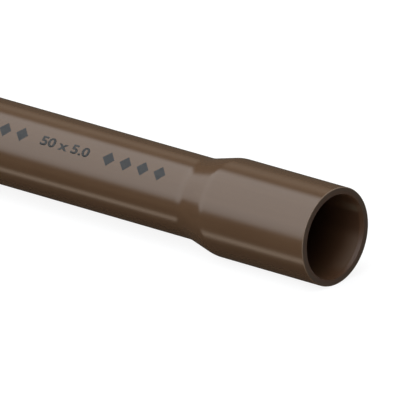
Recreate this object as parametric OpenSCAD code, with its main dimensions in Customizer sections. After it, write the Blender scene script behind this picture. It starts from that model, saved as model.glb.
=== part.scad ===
// Rigid PVC pressure pipe for solvent-cement joints, supplied as one bar: a plain
// cut end (the spigot) and a belled end (the socket) that takes the next bar's spigot.
// Millimetres. The axis is X: the plain end's face lies at x = 0 and the socket opens
// towards +X at x = bar_length. The bar is one extruded piece, and its socket is
// formed from the same wall.

/* [Pipe] */
// Outside diameter of the pipe
pipe_od = 50; // [40:0.5:63]
// Thickness of the pipe's wall
pipe_wall = 5; // [2.5:0.1:7]
// Length of the bar over both ends
bar_length = 3000; // [1000:50:6000]

/* [Socket] */
// Depth of the straight part of the socket, measured from its mouth
socket_depth = 77.1; // [40:0.1:120]
// Clearance between a pipe and the socket's wall, on each side
socket_clearance = 0.15; // [0.05:0.01:0.4]
// Thickness of the socket's wall
socket_wall = 5; // [3.5:0.1:7]

/* [Shoulder] */
// Slope of the shoulder between pipe and socket, against the axis
shoulder_angle = 14; // [8:0.5:20]
// Outside bend radius where the shoulder runs into the socket
bend_at_socket = 25; // [10:1:40]
// Outside bend radius where the pipe runs into the shoulder
bend_at_pipe = 30; // [5:1:40]

/* [Edges] */
// Rounding of the mouth's outer edge
mouth_outer_round = 0.6; // [0.2:0.1:1.6]
// Rounding of the mouth's inner edge
mouth_inner_round = 1.1; // [0.2:0.1:1.6]
// Bevel that breaks the outer edge of the plain end
plain_end_bevel = 0.4; // [0.1:0.1:1]

/* [Hidden] */

pipe_r = pipe_od / 2;
waterway_r = pipe_r - pipe_wall;
socket_bore_r = pipe_r + socket_clearance;
socket_r = socket_bore_r + socket_wall;
bend_steps = 8;
round_steps = 10;

// The wall section is drawn as [radius, distance from the mouth], with the bar behind
// the mouth at negative distances.

// A shoulder from the pipe's radius r_pipe up to the socket's radius r_socket, which it
// reaches at the bottom of the socket. Two tangent arcs join the slope to the straight
// lengths. Both shrink alike where the step is too low for them.
function shoulder(r_pipe, r_socket, r_bend_pipe, r_bend_socket) =
    let (
        step = r_socket - r_pipe,
        k = min(1, 0.9 * step / ((r_bend_pipe + r_bend_socket) * (1 - cos(shoulder_angle)))),
        rp = k * r_bend_pipe,
        rs = k * r_bend_socket,
        run = (step - (rp + rs) * (1 - cos(shoulder_angle))) / tan(shoulder_angle),
        start = -socket_depth - (rp + rs) * sin(shoulder_angle) - run
    )
    concat(
        [for (i = [0:bend_steps]) let (a = shoulder_angle * i / bend_steps)
            [r_pipe + rp * (1 - cos(a)), start + rp * sin(a)]],
        [for (i = [bend_steps:-1:0]) let (a = shoulder_angle * i / bend_steps)
            [r_socket - rs * (1 - cos(a)), -socket_depth - rs * sin(a)]]
    );

// A quarter round of the mouth, from angle a0 to angle a1, about the radius r
function mouth_round(r, radius, a0, a1) =
    [for (i = [0:round_steps]) let (a = a0 + (a1 - a0) * i / round_steps)
        [r + radius * cos(a), -radius + radius * sin(a)]];

function reversed(points) = [for (i = [len(points) - 1:-1:0]) points[i]];

wall_section = concat(
    [[waterway_r, -bar_length], [pipe_r - plain_end_bevel, -bar_length],
        [pipe_r, plain_end_bevel - bar_length]],
    shoulder(pipe_r, socket_r, bend_at_pipe, bend_at_socket),
    mouth_round(socket_r - mouth_outer_round, mouth_outer_round, 0, 90),
    mouth_round(socket_bore_r + mouth_inner_round, mouth_inner_round, 90, 180),
    reversed(shoulder(waterway_r, socket_bore_r, bend_at_pipe + pipe_wall,
        max(2, bend_at_socket - socket_wall)))
);

// The whole bar: one wall section turned about the X axis
module pipe() {
    color([0.36, 0.27, 0.2])
        translate([bar_length, 0, 0])
            rotate([0, 90, 0])
                rotate_extrude($fn = 120)
                    polygon(wall_section);
}

pipe();
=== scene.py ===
"""One bar of brown PVC pressure pipe, plain at one end and belled at the other."""
from math import cos, pi, radians, sin, tan

import bmesh
import bpy
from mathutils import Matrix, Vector


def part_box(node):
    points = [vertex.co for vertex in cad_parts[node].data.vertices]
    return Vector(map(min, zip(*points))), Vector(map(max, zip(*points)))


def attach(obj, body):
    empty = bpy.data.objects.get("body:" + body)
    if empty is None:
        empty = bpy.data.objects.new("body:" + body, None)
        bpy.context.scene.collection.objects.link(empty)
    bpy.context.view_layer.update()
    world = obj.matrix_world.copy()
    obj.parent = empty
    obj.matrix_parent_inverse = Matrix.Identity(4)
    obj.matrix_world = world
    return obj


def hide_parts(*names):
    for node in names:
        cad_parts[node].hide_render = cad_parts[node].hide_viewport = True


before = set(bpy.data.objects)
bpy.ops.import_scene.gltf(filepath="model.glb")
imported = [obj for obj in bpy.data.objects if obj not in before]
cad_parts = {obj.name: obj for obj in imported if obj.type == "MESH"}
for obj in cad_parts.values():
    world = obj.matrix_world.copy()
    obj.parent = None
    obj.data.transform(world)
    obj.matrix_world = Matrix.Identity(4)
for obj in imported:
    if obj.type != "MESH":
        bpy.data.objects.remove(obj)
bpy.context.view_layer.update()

MM = 0.001
PIPE_LOW, PIPE_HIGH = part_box("pipe")
PLAIN_END = PIPE_LOW.x
MOUTH = PIPE_HIGH.x
SOCKET_R = PIPE_HIGH.z

# The bar's wall, as it is drawn in the part's own source
PIPE_R = 25.0 * MM
PIPE_WALL = 5.0 * MM
SOCKET_WALL = 5.0 * MM
SOCKET_DEPTH = 77.1 * MM
SHOULDER = radians(14)
BEND_AT_PIPE = 30.0 * MM
BEND_AT_SOCKET = 25.0 * MM
MOUTH_OUTER_ROUND = 0.6 * MM
PLAIN_END_BEVEL = 0.4 * MM
WATERWAY_R = PIPE_R - PIPE_WALL
SOCKET_BORE_R = SOCKET_R - SOCKET_WALL

# The mouth's worn inner edge: a slight lead-in that runs into the face by a small round
LEAD_IN = radians(17.5)
LEAD_IN_DEPTH = 3.0 * MM
MOUTH_INNER_ROUND = 0.3 * MM

TURN_STEPS = 240
BEND_STEPS = 12
ROUND_STEPS = 10
SLOPE_RINGS = 3
BAR_RINGS = 48
SOCKET_RINGS = 8
EASE = 0.08 * MM                     # keeps a rounding's shading off the flats beside it
SAME_POINT = 0.002 * MM
SHARP = radians(30)


# --- Shader maths -------------------------------------------------------------------

# A Mix node's sockets for colours. Others bear the same names, so these go by number
MIX_FACTOR, MIX_A, MIX_B, MIX_RESULT = 0, 6, 7, 2


class Value:
    """A number in a node tree. Arithmetic on it adds Math nodes."""

    def __init__(self, nodes, socket):
        self.nodes, self.socket = nodes, socket

    def math(self, operation, *others, clamp=False):
        settings = {"operation": operation, "use_clamp": clamp}
        return self.nodes.add("ShaderNodeMath", settings, [self, *others])["Value"]

    def __add__(self, other):
        return self.math("ADD", other)

    __radd__ = __add__

    def __sub__(self, other):
        return self.math("SUBTRACT", other)

    def __rsub__(self, other):
        return (self * -1) + other

    def __mul__(self, other):
        return self.math("MULTIPLY", other)

    __rmul__ = __mul__

    def __truediv__(self, other):
        return self.math("DIVIDE", other)

    def __neg__(self):
        return self * -1

    def soft(self, start, end):
        """0 where this is at start or before it, 1 from end on, eased between them."""
        settings = {"interpolation_type": "SMOOTHSTEP"}
        return self.nodes.add("ShaderNodeMapRange", settings, [self, start, end])["Result"]

    def clamped(self, start, end):
        """0 where this is at start or before it, 1 from end on, even between them."""
        return self.nodes.add("ShaderNodeMapRange", {"clamp": True}, [self, start, end])["Result"]

    def within(self, start, full, end, none):
        """Rises from start to full, falls from end to none."""
        return self.soft(start, full) * (1 - self.soft(end, none))


class Outputs:
    """What a node gives, by name."""

    def __init__(self, nodes, node):
        self.nodes, self.node = nodes, node

    def __getitem__(self, name):
        return Value(self.nodes, self.node.outputs[name])


class Nodes:
    """A node tree that is being made."""

    def __init__(self, owner):
        owner.use_nodes = True
        self.tree = owner.node_tree
        self.tree.nodes.clear()

    def add(self, kind, settings=None, sockets=()):
        """A node of this kind. Its settings come first, then its sockets' values or links."""
        node = self.tree.nodes.new(kind)
        for name, value in (settings or {}).items():
            setattr(node, name, value)
        pairs = sockets.items() if isinstance(sockets, dict) else enumerate(sockets)
        for name, value in pairs:
            if isinstance(value, Value):
                self.tree.links.new(value.socket, node.inputs[name])
            else:
                node.inputs[name].default_value = value
        return Outputs(self, node)

    def noise(self, point, detail):
        """Noise from 0 to 1 at a point, which is given as three values."""
        vector = self.add("ShaderNodeCombineXYZ", None, point)["Vector"]
        sockets = {"Vector": vector, "Scale": 1.0, "Detail": detail, "Roughness": 0.5}
        return self.add("ShaderNodeTexNoise", None, sockets)["Fac"]

    def mix_colour(self, factor, one, other):
        """One colour where factor is 0, the other where it is 1."""
        one, other = (
            colour if isinstance(colour, Value) else (*colour, 1) for colour in (one, other))
        sockets = {MIX_FACTOR: factor, MIX_A: one, MIX_B: other}
        return self.add("ShaderNodeMix", {"data_type": "RGBA"}, sockets)[MIX_RESULT]


# --- The pipe's shape ---------------------------------------------------------------


class Section:
    """The wall's section beside the bar's axis, drawn edge by edge."""

    def __init__(self, x, radius):
        self.mesh = bmesh.new()
        self.start = self.end = self.mesh.verts.new((x, 0, radius))

    def line(self, x, radius, pieces=1):
        """A straight edge to this point, in equal pieces."""
        step = (Vector((x, 0, radius)) - self.end.co) / pieces
        for _ in range(pieces):
            new = bmesh.ops.extrude_vert_indiv(self.mesh, verts=[self.end])["verts"]
            bmesh.ops.translate(self.mesh, verts=new, vec=step)
            self.end = new[0]

    def bend(self, radius, angle, side, steps):
        """Turns by angle about a centre that lies radius away, towards side."""
        self.mesh.verts.ensure_lookup_table()
        new = bmesh.ops.spin(
            self.mesh, geom=[self.end], cent=self.end.co + side * radius,
            axis=(0, 1, 0), angle=angle, steps=steps,
        )["geom_last"]
        self.end = next(v for v in new if isinstance(v, bmesh.types.BMVert))

    def close(self):
        self.mesh.edges.new((self.end, self.start))


OUT, IN = Vector((0, 0, 1)), Vector((0, 0, -1))
TO_MOUTH, TO_PLAIN_END = Vector((1, 0, 0)), Vector((-1, 0, 0))


def shoulder_run(step, bend_a, bend_b):
    """Length along the bar of a shoulder with these two bends."""
    bends = bend_a + bend_b
    slope = (step - bends * (1 - cos(SHOULDER))) / tan(SHOULDER)
    return bends * sin(SHOULDER) + slope


def wall_section():
    """From the plain end along the outside to the mouth, and back along the inside."""
    step = SOCKET_R - PIPE_R
    socket_floor = MOUTH - SOCKET_DEPTH
    outer_start = socket_floor - shoulder_run(step, BEND_AT_PIPE, BEND_AT_SOCKET)
    inner_a, inner_b = BEND_AT_PIPE + PIPE_WALL, BEND_AT_SOCKET - SOCKET_WALL
    inner_start = socket_floor - shoulder_run(SOCKET_BORE_R - WATERWAY_R, inner_a, inner_b)
    upper = socket_floor - BEND_AT_SOCKET * sin(SHOULDER)
    lower = inner_start + inner_a * sin(SHOULDER)
    across_slope = Vector((sin(SHOULDER), 0, -cos(SHOULDER)))

    section = Section(PLAIN_END, PIPE_R - PLAIN_END_BEVEL)
    section.line(PLAIN_END + PLAIN_END_BEVEL, PIPE_R)
    section.line(outer_start, PIPE_R, BAR_RINGS)
    section.bend(BEND_AT_PIPE, -SHOULDER, OUT, BEND_STEPS)
    section.line(upper, SOCKET_R - BEND_AT_SOCKET * (1 - cos(SHOULDER)), SLOPE_RINGS)
    section.bend(BEND_AT_SOCKET, SHOULDER, across_slope, BEND_STEPS)
    section.line(MOUTH - MOUTH_OUTER_ROUND - EASE, SOCKET_R, SOCKET_RINGS)
    section.line(MOUTH - MOUTH_OUTER_ROUND, SOCKET_R)
    section.bend(MOUTH_OUTER_ROUND, pi / 2, IN, ROUND_STEPS)
    section.line(MOUTH, SOCKET_R - MOUTH_OUTER_ROUND - EASE)
    round_depth = MOUTH_INNER_ROUND * (1 - sin(LEAD_IN))
    lead_in_r = SOCKET_BORE_R + (LEAD_IN_DEPTH - round_depth) * tan(LEAD_IN)
    face_r = lead_in_r + MOUTH_INNER_ROUND * cos(LEAD_IN)
    section.line(MOUTH, face_r + EASE)
    section.line(MOUTH, face_r)
    section.bend(MOUTH_INNER_ROUND, pi / 2 - LEAD_IN, TO_PLAIN_END, ROUND_STEPS)
    section.line(MOUTH - round_depth - EASE, lead_in_r - EASE * tan(LEAD_IN))
    section.line(MOUTH - LEAD_IN_DEPTH, SOCKET_BORE_R, SLOPE_RINGS)
    section.line(socket_floor, SOCKET_BORE_R, SOCKET_RINGS)
    section.bend(inner_b, -SHOULDER, IN, BEND_STEPS)
    section.line(lower, WATERWAY_R + inner_a * (1 - cos(SHOULDER)), SLOPE_RINGS)
    section.bend(inner_a, SHOULDER, -across_slope, BEND_STEPS)
    section.line(PLAIN_END, WATERWAY_R, BAR_RINGS)
    section.close()
    return section.mesh


def make_pipe():
    """The section spun about the bar's axis into one closed wall."""
    bm = wall_section()
    bmesh.ops.remove_doubles(bm, verts=bm.verts, dist=SAME_POINT)
    bmesh.ops.spin(
        bm, geom=bm.verts[:] + bm.edges[:], cent=(0, 0, 0), axis=(1, 0, 0),
        angle=2 * pi, steps=TURN_STEPS, use_merge=True,
    )
    bmesh.ops.remove_doubles(bm, verts=bm.verts, dist=SAME_POINT)
    bmesh.ops.recalc_face_normals(bm, faces=bm.faces)
    for face in bm.faces:
        face.smooth = True
    mesh = bpy.data.meshes.new("pipe_bar")
    bm.to_mesh(mesh)
    bm.free()
    mesh.set_sharp_from_angle(angle=SHARP)
    pipe = bpy.data.objects.new("pipe_bar", mesh)
    bpy.context.collection.objects.link(pipe)
    return pipe


# --- The printed line ---------------------------------------------------------------

# The bar's diameter and wall in millimetres, then a row of diamonds
LINE_WORDS = "50 x 5.0"
LINE_HEIGHT = 6.2 * MM
LINE_LENGTH = 38.0 * MM
LINE_AROUND = radians(42.5)          # up from the front
LINE_REPEAT = 108.0 * MM
STROKE_SWELL = 0.03                  # of the letters' size
LETTER_MERGE = 0.0001                # of the letters' size
CUT_MERGE, SLIVER = 0.008 * MM, 0.003 * MM
DIAMONDS = 4
DIAMOND_PITCH = 13.3 * MM
DIAMOND_SIZE = 4.6 * MM              # from its middle to a corner
LAST_DIAMOND = 121.0 * MM            # behind the mouth
WORDS_TO_DIAMOND = 15.0 * MM
BARE_END = 60.0 * MM                 # no group starts nearer to the plain end
INK_ABOVE, INK_BELOW = 0.03 * MM, 0.03 * MM
CUTS_EACH_SIDE, CUT_PITCH = 4, 1.0 * MM      # so that the flat line can follow the bar


def flat_words():
    """The words as flat faces, LINE_LENGTH long, about the middle of their height."""
    curve = bpy.data.curves.new("words", "FONT")
    curve.body = LINE_WORDS
    curve.align_x, curve.align_y = "RIGHT", "CENTER"
    curve.resolution_u = 3
    curve.offset = STROKE_SWELL
    holder = bpy.data.objects.new("words", curve)
    mesh = bpy.data.meshes.new_from_object(holder)
    bpy.data.objects.remove(holder)
    bm = bmesh.new()
    bm.from_mesh(mesh)
    bpy.data.meshes.remove(mesh)
    bmesh.ops.remove_doubles(bm, verts=bm.verts, dist=LETTER_MERGE)
    across = [v.co.x for v in bm.verts]
    high = [v.co.y for v in bm.verts]
    bmesh.ops.translate(
        bm, verts=bm.verts, vec=(-max(across), -(max(high) + min(high)) / 2, 0))
    bmesh.ops.scale(bm, verts=bm.verts, vec=(
        LINE_LENGTH / (max(across) - min(across)), LINE_HEIGHT / (max(high) - min(high)), 1))
    return bm


def print_line():
    """One printed group, flat: words and diamonds, ending at the last diamond."""
    bm = flat_words()
    words_end = -(DIAMONDS - 1) * DIAMOND_PITCH - WORDS_TO_DIAMOND
    bmesh.ops.translate(bm, verts=bm.verts, vec=(words_end, 0, 0))
    for number in range(DIAMONDS):
        corners = bmesh.ops.create_circle(
            bm, cap_ends=True, segments=4, radius=DIAMOND_SIZE)["verts"]
        bmesh.ops.translate(bm, verts=corners, vec=(-number * DIAMOND_PITCH, 0, 0))
    for step in range(-CUTS_EACH_SIDE, CUTS_EACH_SIDE + 1):
        bmesh.ops.bisect_plane(
            bm, geom=bm.verts[:] + bm.edges[:] + bm.faces[:],
            plane_co=(0, step * CUT_PITCH, 0), plane_no=(0, 1, 0))
    bmesh.ops.remove_doubles(bm, verts=bm.verts, dist=CUT_MERGE)
    bmesh.ops.triangulate(bm, faces=bm.faces[:])
    bmesh.ops.dissolve_degenerate(bm, edges=bm.edges[:], dist=SLIVER)
    return bm


def wrap_round(bm):
    """Gives the flat line its thickness and lays it round the bar."""
    for face in bm.faces:
        if face.normal.z < 0:
            face.normal_flip()
    raised = bmesh.ops.extrude_face_region(bm, geom=bm.faces[:], use_keep_orig=True)["geom"]
    top = [v for v in raised if isinstance(v, bmesh.types.BMVert)]
    bmesh.ops.translate(bm, verts=top, vec=(0, 0, INK_ABOVE + INK_BELOW))
    for vert in bm.verts:
        along, up, out = vert.co
        angle, radius = LINE_AROUND + up / PIPE_R, PIPE_R - INK_BELOW + out
        vert.co = (MOUTH - LAST_DIAMOND + along, -radius * cos(angle), radius * sin(angle))


def make_printed_line():
    """The printed groups as one piece, one behind another from the socket's end."""
    group = print_line()
    wrap_round(group)
    bmesh.ops.recalc_face_normals(group, faces=group.faces)
    one = bpy.data.meshes.new("printed_group")
    group.to_mesh(one)
    group.free()
    bm = bmesh.new()
    repeats = int((MOUTH - LAST_DIAMOND - PLAIN_END - BARE_END) / LINE_REPEAT)
    for number in range(repeats):
        bm.from_mesh(one)
        bm.verts.ensure_lookup_table()
        fresh = bm.verts[-len(one.vertices):]
        bmesh.ops.translate(bm, verts=fresh, vec=(-number * LINE_REPEAT, 0, 0))
    bpy.data.meshes.remove(one)
    mesh = bpy.data.meshes.new("printed_line")
    bm.to_mesh(mesh)
    bm.free()
    line = bpy.data.objects.new("printed_line", mesh)
    bpy.context.collection.objects.link(line)
    return line


# --- Materials ----------------------------------------------------------------------

# Linear colours
PVC_DEEP, PVC_PALE = (0.087, 0.0486, 0.0262), (0.0975, 0.0554, 0.0303)
# The bore's colour, and a darker colour for painted shade in the bore
BORE, BORE_SHADED = (0.097, 0.0465, 0.023), (0.073, 0.034, 0.0168)
# A pale grey for a painted sheen and a painted reflection streak in the bore
SHEEN_GREY = (0.24, 0.21, 0.15)
# A lighter colour for wear on the plain end and for a painted highlight on the mouth's edge
RUBBED_AND_HIGHLIGHT = (0.23, 0.165, 0.115)
INK, INK_THIN = (0.021, 0.023, 0.0245), (0.042, 0.04, 0.037)


def brown_pvc():
    """Brown rigid PVC: satin from the die outside, duller inside and on its cut faces.

    Its bore carries a painted sheen, a painted reflection streak and two stretches of painted
    shade; the mouth's outer edge carries a painted highlight.
    """
    material = bpy.data.materials.new("brown_pvc")
    nodes = Nodes(material)
    place = nodes.add("ShaderNodeTexCoord")["Object"]
    axes = nodes.add("ShaderNodeSeparateXYZ", None, [place])
    x, y, z = axes["X"], axes["Y"], axes["Z"]

    # Where the surface lies: in the bore, on the mouth's face or on the sawn plain end
    radius = (y * y + z * z).math("SQRT")
    step = SOCKET_R - PIPE_R
    socket_floor = MOUTH - SOCKET_DEPTH
    shoulder_start = socket_floor - shoulder_run(step, BEND_AT_PIPE, BEND_AT_SOCKET)
    mid_wall = PIPE_R - PIPE_WALL / 2 + step * x.clamped(shoulder_start, socket_floor)
    bore = mid_wall.math("GREATER_THAN", radius)
    mouth_face = x.soft(MOUTH - 0.06 * MM, MOUTH - 0.01 * MM)
    sawn_end = 1 - x.soft(PLAIN_END + 0.01 * MM, PLAIN_END + 0.06 * MM)
    scuffed = (1 - x.soft(PLAIN_END, PLAIN_END + 1.5 * MM)) * (1 - bore)
    # Painted highlight: a lighter line on the mouth's outer rounding, strongest on its upper
    # front side
    highlight_side = z.soft(-26 * MM, -8 * MM) * (1 - y.soft(8 * MM, 22 * MM))
    painted_edge_highlight = x.soft(MOUTH - 0.7 * MM, MOUTH - 0.3 * MM) * radius.soft(
        SOCKET_R - 0.7 * MM, SOCKET_R - 0.3 * MM) * (0.1 + 0.9 * highlight_side)

    # Inside the mouth: a painted sheen low on one side, lighter and grey under a coat, a painted
    # reflection streak above it, and painted shade on two stretches beside the streak. Angles
    # are degrees about the bar, from 0 at the back through 90 on top
    turned = z.math("ARCTAN2", y) * (180 / pi)
    lead_in = x.soft(MOUTH - LEAD_IN_DEPTH - 0.2 * MM, MOUTH - LEAD_IN_DEPTH + 0.3 * MM)
    inside_mouth = bore * x.soft(MOUTH - 17 * MM, MOUTH - LEAD_IN_DEPTH) * (
        1 - 0.6 * lead_in - 0.4 * x.soft(MOUTH - 0.4 * MM, MOUTH - 0.1 * MM))
    # Painted sheen: a patch low on one side of the bore, lightened to grey and coated
    painted_sheen = turned.within(-79, -58, -23, -3) * inside_mouth
    # Painted shade: two stretches of the bore darkened
    painted_shade = turned.within(-22, -5, 16, 21) + 0.6 * turned.within(37, 43, 56, 64)
    painted_shade = painted_shade * bore * (1 - lead_in)
    # Painted reflection: a lighter streak along the bore
    painted_streak = turned.within(17, 23, 29, 37) * inside_mouth

    # The die draws long faint lines, and the resin is never mixed quite evenly
    lines = nodes.noise((x * 1.2, y * 240, z * 240), detail=3)
    hairlines = nodes.noise((x * 6, y * 1500, z * 1500), detail=2)
    clouds = nodes.noise((x * 25, y * 45, z * 45), detail=4)
    saw = nodes.noise((x * 10, y * 2200 + z * 500, z * 90), detail=2)
    scratches = nodes.noise((x * 900, y * 60, z * 60), detail=3)

    tone = (0.55 * lines + 0.45 * clouds).soft(0.3, 0.7)
    colour = nodes.mix_colour(tone, PVC_DEEP, PVC_PALE)
    colour = nodes.mix_colour(bore, colour, BORE)
    # Painted shade on two stretches of the bore
    colour = nodes.mix_colour(painted_shade, colour, BORE_SHADED)
    # The painted sheen and the painted reflection streak lighten the bore towards grey
    colour = nodes.mix_colour(0.1 * painted_sheen + 0.3 * painted_streak, colour, SHEEN_GREY)
    # Lighter colour: real wear on the sawn end and the scuffs near it, and a painted highlight on
    # the mouth's edge
    rubbed_and_highlight = sawn_end * 0.45 + scuffed * 0.5 * scratches.soft(0.45, 0.7) + painted_edge_highlight * 0.7
    colour = nodes.mix_colour(rubbed_and_highlight.math("MINIMUM", 1.0), colour, RUBBED_AND_HIGHLIGHT)

    satin = 0.16 + 0.02 * lines + 0.02 * clouds.soft(0.35, 0.75)
    dull = 0.2 * bore * (1 - mouth_face) * (1 - sawn_end) + 0.12 * mouth_face
    dull = dull + 0.35 * sawn_end + 0.15 * scuffed

    height = (0.5 * lines + 0.12 * hairlines) * (1 - sawn_end) + sawn_end * 2.5 * saw
    bump = nodes.add(
        "ShaderNodeBump", None,
        {"Strength": 1.0, "Distance": 0.004 * MM, "Height": height},
    )["Normal"]
    shader = nodes.add(
        "ShaderNodeBsdfPrincipled", None,
        {"Base Color": colour, "Roughness": satin + dull, "IOR": 1.5, "Normal": bump,
         "Coat Weight": 0.45 * painted_sheen, "Coat Roughness": 0.68, "Coat IOR": 1.5},
    )
    nodes.add("ShaderNodeOutputMaterial", None, {"Surface": shader["BSDF"]})
    return material


def grey_ink():
    """Matt dark grey printer's ink, a little thin in places."""
    material = bpy.data.materials.new("grey_ink")
    nodes = Nodes(material)
    place = nodes.add("ShaderNodeTexCoord")["Object"]
    axes = nodes.add("ShaderNodeSeparateXYZ", None, [place])
    x, y, z = axes["X"], axes["Y"], axes["Z"]
    specks = nodes.noise((x * 1400, y * 1400, z * 1400), detail=3)
    patches = nodes.noise((x * 180, y * 260, z * 260), detail=2)
    thin = 0.55 * specks.soft(0.45, 0.8) + 0.45 * patches.soft(0.4, 0.75)
    colour = nodes.mix_colour(thin, INK, INK_THIN)
    shader = nodes.add(
        "ShaderNodeBsdfPrincipled", None,
        {"Base Color": colour, "Roughness": 0.55 + 0.15 * specks, "IOR": 1.45},
    )
    nodes.add("ShaderNodeOutputMaterial", None, {"Surface": shader["BSDF"]})
    return material


# --- Studio -------------------------------------------------------------------------

FLOOR_REACH = 60                     # metres to each side
FLOOR_GREY, FLOOR_GLOW = (0.2, 0.2, 0.2, 1), 0.87


def studio_light():
    """A plain studio, far off, so that the whole bar is lit alike.

    Directions are told by two numbers: how far they point along the bar, from -1 to 1,
    and the angle about it, from 0 at the horizon in front through 90 overhead.
    """
    world = bpy.data.worlds.new("studio")
    bpy.context.scene.world = world
    nodes = Nodes(world)
    direction = nodes.add("ShaderNodeTexCoord")["Generated"]
    axes = nodes.add("ShaderNodeSeparateXYZ", None, [direction])
    along = axes["X"]
    around = axes["Z"].math("ARCTAN2", -axes["Y"]) * (180 / pi)

    # A large soft panel over the front, whose long edges bow out
    bow = 7 * along.within(-0.88, -0.79, -0.77, -0.6) - 5 * (1 - along.soft(-0.93, -0.8))
    low_edge = around + bow
    high_edge = around - 4.5 * along.within(-0.78, -0.73, -0.7, -0.61)
    panel = (2.26 + 0.11 * along.soft(-0.76, -0.63)) * along.within(-1.2, -0.72, -0.6, -0.4)
    panel = panel * (0.55 * low_edge.soft(-6.5, 6.5) + 0.45 * low_edge.soft(-12, 22))
    panel = panel * (1 - high_edge.soft(97, 113.5)) * (1 - 0.1 * around.soft(50, 105))
    # A cooler light at the socket's end, its weak spill on the mouth, and one over the top
    near = 2.95 * along.within(-0.5, -0.1, 0.2, 0.45) * around.within(2, 30, 82, 100)
    near = near + 1.15 * along.within(0.1, 0.3, 0.45, 0.75) * around.within(-65, -5, 82, 118)
    over = 1.1 * along.within(-0.45, -0.3, -0.05, 0.12) * around.within(92, 100, 140, 170)
    # A low strip and a weak lamp behind the bar
    strip = 1.8 * around.within(-66, -55.5, -55.5, -43) * along.within(-0.74, -0.64, -0.2, 0.1)
    lamp = 0.58 * around.within(108, 130, 130, 153) * along.within(-0.74, -0.6, -0.4, -0.2)
    # The room's own light, warmer from below
    behind = around + 360 * around.math("LESS_THAN", 0)
    room = 0.044 + 0.06 * behind.within(115, 150, 165, 230)
    end = 0.2 * behind.within(150, 185, 215, 250) * along.soft(0.2, 0.5)
    below = 0.52 * behind.within(212, 248, 298, 332) * along.within(-0.45, -0.2, 0.2, 0.5)
    # A wide panel low behind the bar, square to it
    rear = 2.6 * behind.within(165, 190, 225, 248) * along.within(-0.45, -0.3, 0.02, 0.15)

    lights = [
        (panel + over + rear, (1, 1, 1, 1)), (near, (0.95, 1, 1.06, 1)),
        (strip + lamp, (1, 0.826, 0.664, 1)), (room, (1, 0.9, 0.75, 1)),
        (end, (1, 0.97, 0.94, 1)), (below, (1, 0.78, 0.54, 1)),
    ]
    total = None
    for strength, colour in lights:
        one = nodes.add("ShaderNodeBackground", None, [colour, strength])["Background"]
        total = one if total is None else nodes.add(
            "ShaderNodeAddShader", None, [total, one])["Shader"]
    white = nodes.add("ShaderNodeBackground", None, [(1, 1, 1, 1), 1.0])["Background"]
    rays = nodes.add("ShaderNodeLightPath")
    plain = rays["Is Camera Ray"].math("MAXIMUM", rays["Is Transmission Ray"])
    shown = nodes.add("ShaderNodeMixShader", None, [plain, total, white])["Shader"]
    nodes.add("ShaderNodeOutputWorld", None, {"Surface": shown})


def white_floor():
    """White to the camera, with the bar's soft shadow on it."""
    material = bpy.data.materials.new("white_floor")
    nodes = Nodes(material)
    paper = nodes.add("ShaderNodeBsdfDiffuse", None, [FLOOR_GREY])["BSDF"]
    glow = nodes.add("ShaderNodeEmission", None, [(1, 1, 1, 1), FLOOR_GLOW])["Emission"]
    lit = nodes.add("ShaderNodeAddShader", None, [paper, glow])["Shader"]
    clear = nodes.add("ShaderNodeBsdfTransparent")["BSDF"]
    under = nodes.add("ShaderNodeNewGeometry")["Backfacing"]
    shown = nodes.add("ShaderNodeMixShader", None, [under, lit, clear])["Shader"]
    nodes.add("ShaderNodeOutputMaterial", None, {"Surface": shown})
    return material


def make_floor():
    """A level floor that the bar lies on. Only the camera sees it."""
    bm = bmesh.new()
    bmesh.ops.create_grid(bm, x_segments=1, y_segments=1, size=FLOOR_REACH)
    bmesh.ops.translate(bm, verts=bm.verts, vec=(MOUTH / 2, 0, PIPE_LOW.z))
    mesh = bpy.data.meshes.new("floor")
    bm.to_mesh(mesh)
    bm.free()
    mesh.materials.append(white_floor())
    floor = bpy.data.objects.new("floor", mesh)
    bpy.context.collection.objects.link(floor)
    floor.visible_diffuse = floor.visible_glossy = floor.visible_shadow = False
    return floor


def make_camera():
    """Looks down the bar at the socket, from far off with a long lens."""
    azimuth, elevation = radians(40.26), radians(19.81)
    away, view_width, sensor = 11.0, 0.2357, 36.0
    mouth_right, mouth_down = 79.85 * MM, 21.8 * MM      # from the picture's middle
    mouth = Vector((MOUTH, 0, 0))
    back = Vector((
        sin(azimuth) * cos(elevation), -cos(azimuth) * cos(elevation), sin(elevation),
    ))
    level = (-back).to_track_quat("-Z", "Y")
    right, up = level @ Vector((1, 0, 0)), level @ Vector((0, 1, 0))
    place = mouth + back * away
    sight = mouth - right * mouth_right + up * mouth_down - place
    data = bpy.data.cameras.new("camera")
    data.sensor_width = sensor
    data.lens = sensor * away / view_width
    data.clip_start, data.clip_end = 0.1, 100
    camera = bpy.data.objects.new("camera", data)
    camera.rotation_mode = "QUATERNION"
    camera.rotation_quaternion = (-back).rotation_difference(sight) @ level
    camera.location = place
    bpy.context.collection.objects.link(camera)
    bpy.context.scene.camera = camera


bpy.context.scene.view_settings.view_transform = "Standard"
make_camera()
studio_light()
make_floor()

pipe = make_pipe()
pipe.data.materials.append(brown_pvc())
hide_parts("pipe")
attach(pipe, "root")

printed_line = make_printed_line()
printed_line.data.materials.append(grey_ink())
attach(printed_line, "root")
